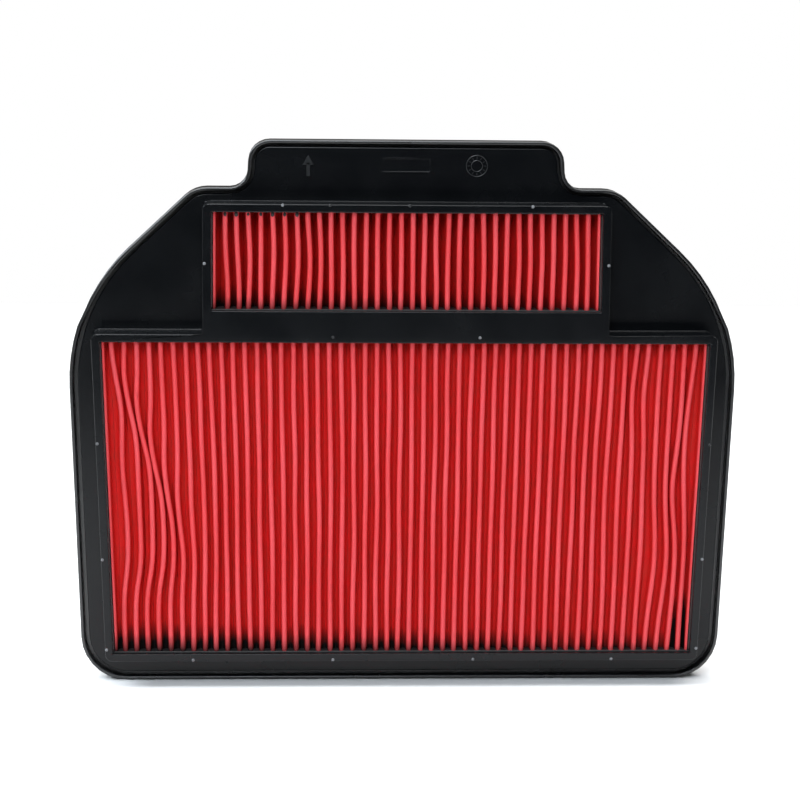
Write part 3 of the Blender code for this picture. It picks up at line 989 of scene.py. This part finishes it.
@dataclass
class PleatedPaper:
    """One folded sheet, with a rounded crest at the front of each pleat.

    Attributes:
        pinch_depth: How far behind the crests a slot's walls meet.
        pinch_follow: How much of a crest's shift is left there; rear_follow is the same at the folds.
        drift: How far the first and the last crests stand to the right.
        slot_shape: Points down a slot: share of the way across and of the way to the pinch.
    """

    node: str
    name: str
    pleats: int
    rows: int
    creases: list[Crease | Slump] = field(default_factory=list)
    paper: float = 0.5 * MM
    crest_radius: float = 0.62 * MM
    crest_steps: int = 3
    rear_radius: float = 0.30 * MM
    pinch_depth: float = 4.2 * MM
    pinch_follow: float = 0.75
    rear_follow: float = 0.35
    waver: float = 0.20 * MM
    wave_length: Range = (35 * MM, 90 * MM)
    wave_shares: Range = (1.0, 0.5)
    least_share: float = 0.4
    drift: Range = (0.0, 0.0)
    set_back: float = 0.14 * MM
    set_back_length: float = 60 * MM
    seed: int = 7
    into_seal: float = 0.5 * MM
    steps: int = 8
    slot_shape: tuple[Range, ...] = ((0.08, 0.62), (0.45, 0.93))

    def crest_places(self, heights: np.ndarray) -> np.ndarray:
        """Where each crest runs.

        Args:
            heights: The rows' heights.

        Returns:
            x for each crest and row.
        """
        low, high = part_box(self.node)
        bottom_half, top_half = half_widths(self.node)
        half = bottom_half + (top_half - bottom_half) * (heights - low.z) / (high.z - low.z)
        number = np.arange(self.pleats + 1)[:, None]
        even = half[None, :] * (2 * number / self.pleats - 1)
        random = np.random.default_rng(self.seed)
        each = (2, self.pleats + 1, 1)
        phase = random.uniform(0, math.tau, each)
        length = random.uniform(*self.wave_length, each)
        share = random.uniform(self.least_share, 1.0, each) * np.array(self.wave_shares).reshape(2, 1, 1)
        waves = (share * np.sin(math.tau * heights[None, None, :] / length + phase)).sum(axis=0)
        pushed = sum(crease.shift(number, heights[None, :]) for crease in self.creases)
        drift = self.drift[0] + (self.drift[1] - self.drift[0]) * number / self.pleats
        free = np.minimum(1.0, np.minimum(number, self.pleats - number))
        return even + (drift + self.waver * waves + pushed) * free

    def build(self, red: Material) -> None:
        """Folds the sheet from a flat grid.

        Args:
            red: Its material.
        """
        low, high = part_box(self.node)
        columns = 2 * self.steps * self.pleats
        deselect()
        bpy.ops.mesh.primitive_grid_add(
            x_subdivisions=columns, y_subdivisions=self.rows, size=1, location=(0, 0, 0)
        )
        piece = named(self.name)
        flat = vertex_array(piece)
        column = np.rint((flat[:, 0] + 0.5) * columns).astype(int)
        row = np.rint((flat[:, 1] + 0.5) * self.rows).astype(int)
        heights = np.linspace(low.z - self.into_seal, high.z + self.into_seal, self.rows + 1)
        x, y = self.folded(heights, low.y + self.paper / 2, high.y - self.paper / 2)
        move_vertices(piece, np.stack([x[column, row], y[column, row], heights[row]], axis=1))
        modify(piece, "SOLIDIFY", thickness=self.paper, offset=0.0, use_even_offset=True)
        turn_outwards(piece)
        smooth(piece, 60.0)
        finish_piece(piece, Slot.PAPER, red, self.node)

    def folded(self, heights: np.ndarray, front_y: float, rear_y: float) -> tuple[np.ndarray, np.ndarray]:
        """The folded sheet's middle line at each height.

        Args:
            heights: The rows' heights.
            front_y: The line's front, at the crests.
            rear_y: Its rear, at the folds behind.

        Returns:
            x and y for each column and row.
        """
        crests = self.crest_places(heights)
        depth = rear_y - front_y
        random = np.random.default_rng(self.seed + 1)
        phase = random.uniform(0, math.tau, (self.pleats + 1, 1))
        set_back = self.set_back * (1 + np.sin(math.tau * heights[None, :] / self.set_back_length + phase))
        pinch = self.held_places(crests, self.pinch_follow)
        rear = self.held_places(crests, self.rear_follow)
        x = np.empty((2 * self.steps * self.pleats + 1, len(heights)))
        y = np.empty_like(x)
        for pleat in range(self.pleats):
            for side, sign in enumerate((1, -1)):
                across, behind = self.half_fold(crests[pleat + side], pinch[pleat], rear[pleat], sign, depth)
                for step in range(self.steps + 1):
                    place = 2 * self.steps * (pleat + side) + sign * step
                    x[place] = across[step]
                    y[place] = front_y + behind[step] + set_back[pleat + side] * (1 - behind[step] / depth)
        return x, y

    def held_places(self, crests: np.ndarray, follow: float) -> np.ndarray:
        """Where the paper runs at some depth between the crests: the beads behind hold it nearly straight.

        Args:
            crests: x for each crest and row.
            follow: How much of the crests' shift is left there.

        Returns:
            x for each slot and row.
        """
        share = np.linspace(0, 1, self.pleats + 1)[:, None]
        straight = crests[:1] + (crests[-1:] - crests[:1]) * share
        held = straight + (crests - straight) * follow
        return (held[:-1] + held[1:]) / 2

    def half_fold(
        self, crest: np.ndarray, pinch: np.ndarray, rear: np.ndarray, sign: int, depth: float
    ) -> tuple[list[np.ndarray], list[float]]:
        """The way from a crest into the slot, to where its walls meet, and on to the fold behind.

        Args:
            crest: x of the crest.
            pinch: x of the place where the slot's walls meet.
            rear: x of the fold.
            sign: 1 where the fold is to the right.
            depth: From the crest to the fold.

        Returns:
            x of each step, and how far behind the crest it is.
        """
        turns = [math.pi / 2 * step / self.crest_steps for step in range(self.crest_steps + 1)]
        across = [crest + sign * self.crest_radius * math.sin(turn) for turn in turns]
        behind = [self.crest_radius * (1 - math.cos(turn)) for turn in turns]
        start, end = across[-1], pinch - sign * self.rear_radius
        for share, down in self.slot_shape:
            across.append(start + (end - start) * share)
            behind.append(self.crest_radius + (self.pinch_depth - self.crest_radius) * down)
        across += [end, rear - sign * self.rear_radius, rear]
        behind += [self.pinch_depth, depth - self.rear_radius, depth]
        return across, behind


# ---------------------------------------- the rest


@dataclass
class Compounds:
    """End seals, side bonds and spacer beads."""

    edge_width: float = 0.2 * MM
    tip_drop_radius: float = 0.72 * MM
    tip_drop_sizes: tuple[float, ...] = (0.85, 1.0, 0.6, 0.65, 0.9, 0.75, 0.95)
    tip_drop_below: float = 0.35 * MM
    tip_drop_stretch: float = 1.35
    bead_sides: int = 10
    bead_cuts: int = 90
    bead_edge: float = 0.1 * MM
    lump_lengths: Range = (1.3 * MM, 4.7 * MM)
    lump_swell: float = 0.11

    def build(self, potting: Material, bond: Material, melt: Material) -> None:
        """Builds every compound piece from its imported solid.

        Args:
            potting: The end seals' material.
            bond: The side bonds' material.
            melt: The beads' material.
        """
        for node in sorted(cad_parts):
            if "end_seal" in node:
                rounded_copy(node, "cast", self.edge_width, Slot.POTTING, potting)
            elif "side_bond" in node:
                rounded_copy(node, "cast", self.edge_width, Slot.BOND, bond)
            elif "spacer_bead" in node:
                self.bead(node, melt)

    def tip_drops(self, pack: PleatedPaper, potting: Material) -> None:
        """Small dark drops on the first crests' upper ends.

        Args:
            pack: The sheet that they lie on.
            potting: Their material.
        """
        low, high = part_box(pack.node)
        z = high.z - self.tip_drop_below
        crests = pack.crest_places(np.array([low.z, z]))[:, 1]
        drops = []
        for x, share in zip(crests[1:], self.tip_drop_sizes):
            radius = self.tip_drop_radius * share
            drops.append(add_drop((x, low.y + radius / 2, z), radius, (1, 1, self.tip_drop_stretch), rings=8))
        piece = joined(drops, "dark_tip_drops")
        smooth(piece)
        finish_piece(piece, Slot.POTTING, potting)

    def bead(self, node: str, melt: Material) -> None:
        """A line of hot melt that has set in lumps over the folds.

        Args:
            node: The CAD node.
            melt: Its material.
        """
        low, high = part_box(node)
        size, middle = high - low, (low + high) / 2
        deselect()
        bpy.ops.mesh.primitive_cylinder_add(
            vertices=self.bead_sides, radius=size.y / 2, depth=size.x, location=middle, rotation=ALONG_X
        )
        piece = named(f"{node}_set")
        cut_along(piece, size.x, self.bead_cuts)
        places = vertex_array(piece)
        short, long = self.lump_lengths
        swell = 1 + self.lump_swell * (np.sin(places[:, 0] / short) + np.sin(places[:, 0] / long + 1.0))
        places[:, 2] = middle.z + (places[:, 2] - middle.z) * swell * size.z / size.y
        places[:, 1] = middle.y + (places[:, 1] - middle.y) * np.minimum(swell, 1.0)
        move_vertices(piece, places)
        round_edges(piece, self.bead_edge, angle=60.0)
        finish_piece(piece, Slot.HOT_MELT, melt, node)


@dataclass
class WireScreen:
    """A plain weave of round wire."""

    node: str
    pitch: float = 2.4 * MM
    wire: float = 0.30 * MM
    sides: int = 5
    bends: int = 3

    def strand(self, length: float, waves: int, name: str) -> Piece:
        """One wire along X that passes over and under its neighbours.

        Args:
            length: The wire's length.
            waves: How many times it goes over and under.
            name: Its name.

        Returns:
            The wire.
        """
        cell = length / waves
        deselect()
        bpy.ops.mesh.primitive_cylinder_add(
            vertices=self.sides, radius=self.wire / 2, depth=cell, end_fill_type="NOTHING",
            location=(0, 0, 0), rotation=ALONG_X
        )
        piece = named(name)
        cut_along(piece, cell, self.bends)
        places = vertex_array(piece)
        places[:, 1] += self.wire / 2 * np.cos(math.tau * places[:, 0] / cell)
        places[:, 0] += (cell - length) / 2
        move_vertices(piece, places)
        repeat(piece, waves, (cell, 0, 0), merge=True)
        enter_edit(piece)
        bpy.ops.mesh.select_all(action="SELECT")
        bpy.ops.mesh.fill_holes(sides=self.sides)
        leave_edit()
        turn_outwards(piece)
        return piece

    def layer(self, length: float, across: float, count: int, waves: int, name: str) -> Piece:
        """Parallel wires along X, every second one turned over.

        Args:
            length: The wires' length.
            across: The layer's height.
            count: How many wires, an even number.
            waves: How many times each goes over and under.
            name: Its name.

        Returns:
            The layer, centred on the origin.
        """
        step, cell = across / count, length / waves
        wires = [self.strand(length, waves, f"{name}_{way}") for way in ("over", "under")]
        for number, wire in enumerate(wires):
            places = vertex_array(wire)
            centre = self.wire / 2 * np.cos(math.tau * (places[:, 0] + (length - cell) / 2) / cell)
            places[:, 1] -= 2 * number * centre
            places[:, 2] += (number + 0.5) * step - across / 2
            move_vertices(wire, places)
        piece = joined(wires, name)
        repeat(piece, count // 2, (0, 0, 2 * step), merge=False)
        return piece

    def build(self, steel: Material) -> None:
        """Weaves the screen into its packed plate's space.

        Args:
            steel: Its material.
        """
        low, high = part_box(self.node)
        size, middle = high - low, (low + high) / 2
        across, up = (2 * round(length / self.pitch / 2) for length in (size.x, size.z))
        weft = self.layer(size.x, size.z, up, across // 2, "weft")
        warp = self.layer(size.z, size.x, across, up // 2, "warp")
        places = vertex_array(warp)
        move_vertices(warp, np.stack([places[:, 2], -places[:, 1], places[:, 0]], axis=1))
        piece = joined([weft, warp], f"{self.node}_weave")
        places = vertex_array(piece) + np.array(middle)
        foot, head = half_widths(self.node)
        rise = (places[:, 2] - low.z) / size.z
        places[:, 0] *= (foot + (head - foot) * rise) / (size.x / 2)
        move_vertices(piece, places)
        turn_outwards(piece)
        smooth(piece, 70.0)
        finish_piece(piece, Slot.WIRE, steel, self.node)


@dataclass
class RearGrille:
    """A moulded grille behind one chamber."""

    node: str
    edge_width: float = 0.3 * MM

    def build(self, plastic: Material) -> None:
        """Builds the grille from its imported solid."""
        rounded_copy(self.node, "moulding", self.edge_width, Slot.PLASTIC, plastic)


# ---------------------------------------- studio


@dataclass
class SoftBox:
    """An area light with a width and a height, a power in watts and a point that it shines at."""

    name: str
    place: Point
    target: Point
    size: Range
    power: float
    colour: Colour = (1.0, 1.0, 1.0)

    def build(self) -> None:
        """Adds the light."""
        light = bpy.data.lights.new(self.name, "AREA")
        light.shape = "RECTANGLE"
        light.size, light.size_y = self.size
        light.energy = self.power
        light.color = self.colour
        lamp = bpy.data.objects.new(self.name, light)
        lamp.location = self.place
        lamp.rotation_euler = (Vector(self.target) - Vector(self.place)).to_track_quat("-Z", "Y").to_euler()
        bpy.context.scene.collection.objects.link(lamp)


@dataclass
class Studio:
    """Pale floor, soft light and camera."""

    target: Point = (-1.45 * MM, -4 * MM, 99.29 * MM)
    distance: float = 0.85
    yaw: float = math.radians(3.06)
    pitch: float = math.radians(9.0)
    roll: float = math.radians(0.62)
    lens: float = 110.8
    sensor: float = 36.0
    nearest: float = 10 * MM
    floor_from: Range = (-1.6, -0.52)
    floor_to: Range = (1.6, 1.1)
    floor_drop: float = 0.05 * MM
    floor_colours: tuple[Colour, Colour] = ((0.90, 0.90, 0.90), (0.88, 0.88, 0.88))
    surround: float = 0.03
    cove: float = 0.9
    cove_turn: Range = (-0.1, 0.4)
    cove_rise: Range = (0.05, 0.22)
    lights: tuple[SoftBox, ...] = (
        SoftBox("front_softbox", (-0.32, -1.8, 1.35), (0, 0, 0.09), (0.9, 1.0), 38.0, (0.93, 1.0, 1.07)),
        SoftBox("side_softbox", (-0.95, -0.1, 0.85), (0, 0, 0.12), (0.5, 0.5), 9.0, (0.92, 1.0, 1.08)),
        SoftBox("top_softbox", (0.0, 0.25, 1.5), (0, 0.2, 0), (2.6, 2.0), 60.0),
    )

    def build(self) -> None:
        """Builds the studio."""
        self.add_floor()
        self.add_world()
        self.add_camera()
        for light in self.lights:
            light.build()
        bpy.context.scene.view_settings.view_transform = "Standard"

    def add_floor(self) -> None:
        """A pale table top, which ends in front of the object, out of the camera's view."""
        (x0, y0), (x1, y1) = self.floor_from, self.floor_to
        deselect()
        bpy.ops.mesh.primitive_plane_add(
            size=1, location=((x0 + x1) / 2, (y0 + y1) / 2, cad_box[0][2] - self.floor_drop)
        )
        bpy.context.object.scale = (x1 - x0, y1 - y0, 1)
        floor = named("studio_floor")
        paint = bpy.data.materials.new("pale_floor")
        shader = Shader(paint)
        colour = shader.blend(shader.noise(3.0, 1.0), *self.floor_colours)
        shader.dress(Base_Color=colour, Roughness=0.9, Specular_IOR_Level=0.1)
        floor.data.materials.append(paint)

    def add_world(self) -> None:
        """A white surround to look at; what lights the object is a low bright cove behind it."""
        world = bpy.data.worlds.new("surround")
        bpy.context.scene.world = world
        shader = Shader(world)
        way = shader.node("SeparateXYZ", Vector=shader.coordinates["Generated"]).outputs
        behind = shader.ramp(way["Y"], self.cove_turn, RISING)
        low = shader.ramp(way["Z"], self.cove_rise, FALLING)
        light = shader.math("MULTIPLY_ADD", shader.math("MULTIPLY", behind, low), self.cove, self.surround)
        seen = shader.node("LightPath").outputs["Is Camera Ray"]
        back = shader.tree.nodes["Background"].inputs
        back["Color"].default_value = (1, 1, 1, 1)
        shader.fill(back["Strength"], shader.math("MAXIMUM", light, seen))

    def add_camera(self) -> None:
        """A long lens from slightly above and to the left."""
        level = math.cos(self.pitch)
        back = Vector((-math.sin(self.yaw) * level, -math.cos(self.yaw) * level, math.sin(self.pitch)))
        data = bpy.data.cameras.new("camera")
        data.lens = self.lens
        data.sensor_width = self.sensor
        data.clip_start = self.nearest
        camera = bpy.data.objects.new("camera", data)
        camera.location = Vector(self.target) + back * self.distance
        turn = back.to_track_quat("Z", "Y") @ Quaternion((0, 0, 1), self.roll)
        camera.rotation_euler = turn.to_euler()
        bpy.context.scene.collection.objects.link(camera)
        bpy.context.scene.camera = camera


def creases(*rows: tuple[float, ...]) -> list[Crease]:
    """Creases from rows of pleat, height, push, reach and half height, with lengths in millimetres."""
    return [Crease(pleat, z * MM, push * MM, reach, span * MM) for pleat, z, push, reach, span in rows]


def paper_packs() -> list[PleatedPaper]:
    """The two sheets, with the places where their pleats have been pushed about.

    Returns:
        The lower and the upper sheet.
    """
    lower = PleatedPaper(
        "lower_pleat_pack", "lower_pleats", pleats=51, rows=40,
        drift=(-0.45 * MM, 0.75 * MM), waver=0.15 * MM,
        creases=[
            Slump(
                push=3.1 * MM, pleat=2.8, reach=3.9, start_z=104 * MM, fall=10.3 * MM,
                lowest_z=50 * MM, end_z=38 * MM, softness=8 * MM, crowding=0.7 * MM
            ),
            *creases(
                (8.0, 70, 1.0, 2.2, 36),
                (1.0, 78, -0.9, 0.6, 14),
                (50.0, 84, -2.0, 0.75, 25),
                (49.0, 68, -1.2, 0.7, 13),
                (47.7, 44, 2.0, 1.6, 19),
                (45.6, 102, -1.4, 1.0, 13),
                (42.5, 74, -0.9, 1.4, 26),
                (20.0, 70, 0.5, 5.0, 40),
            ),
        ],
    )
    upper = PleatedPaper(
        "upper_pleat_pack", "upper_pleats", pleats=33, rows=20, seed=11,
        pinch_depth=8.5 * MM, waver=0.22 * MM,
        creases=creases(
            (6.8, 149, 0.85, 3.0, 13),
            (1.2, 136, 0.9, 1.3, 15),
            (28.0, 148, 0.5, 5.0, 12),
        ),
    )
    return [lower, upper]


def main() -> None:
    """Builds the filter's looks, one sub-assembly after another."""
    logging.basicConfig(level=logging.INFO, format="%(name)s %(message)s", stream=sys.stdout)
    plastic = BLACK_PLASTIC.material("moulded_plastic")
    Moulding().build(
        plastic, STRESSED_PLASTIC.material("stressed_plastic"), RUBBED_PLASTIC.material("rubbed_plastic")
    )
    RimSeal().build(BLOOMED_RUBBER.material("seal_rubber"))
    potting = POTTING.material("cast_potting")
    lower, upper = paper_packs()
    # The upper sheet gets less soak and painted shade at its foot, and no painted shaded gap.
    upper_finish = OiledPaper(soak_and_shade_slope=0.4, soak_and_shade_height=-6.6 * MM, shaded_gap_height=0.0)
    for pack, finish in ((lower, OiledPaper()), (upper, upper_finish)):
        low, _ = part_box(pack.node)
        pack.build(finish.material(f"{pack.name}_paper", low.y, low.z))
    Compounds().tip_drops(upper, potting)
    Compounds().build(potting, SIDE_BOND.material("dried_bond"), HOT_MELT.material("set_hot_melt"))
    steel = GALVANISED.material("galvanised_wire")
    for chamber in ("lower", "upper"):
        WireScreen(f"{chamber}_wire_screen").build(steel)
    for chamber in ("lower", "upper"):
        RearGrille(f"{chamber}_rear_grille").build(plastic)
    Studio().build()


if __name__ == "__main__":
    main()
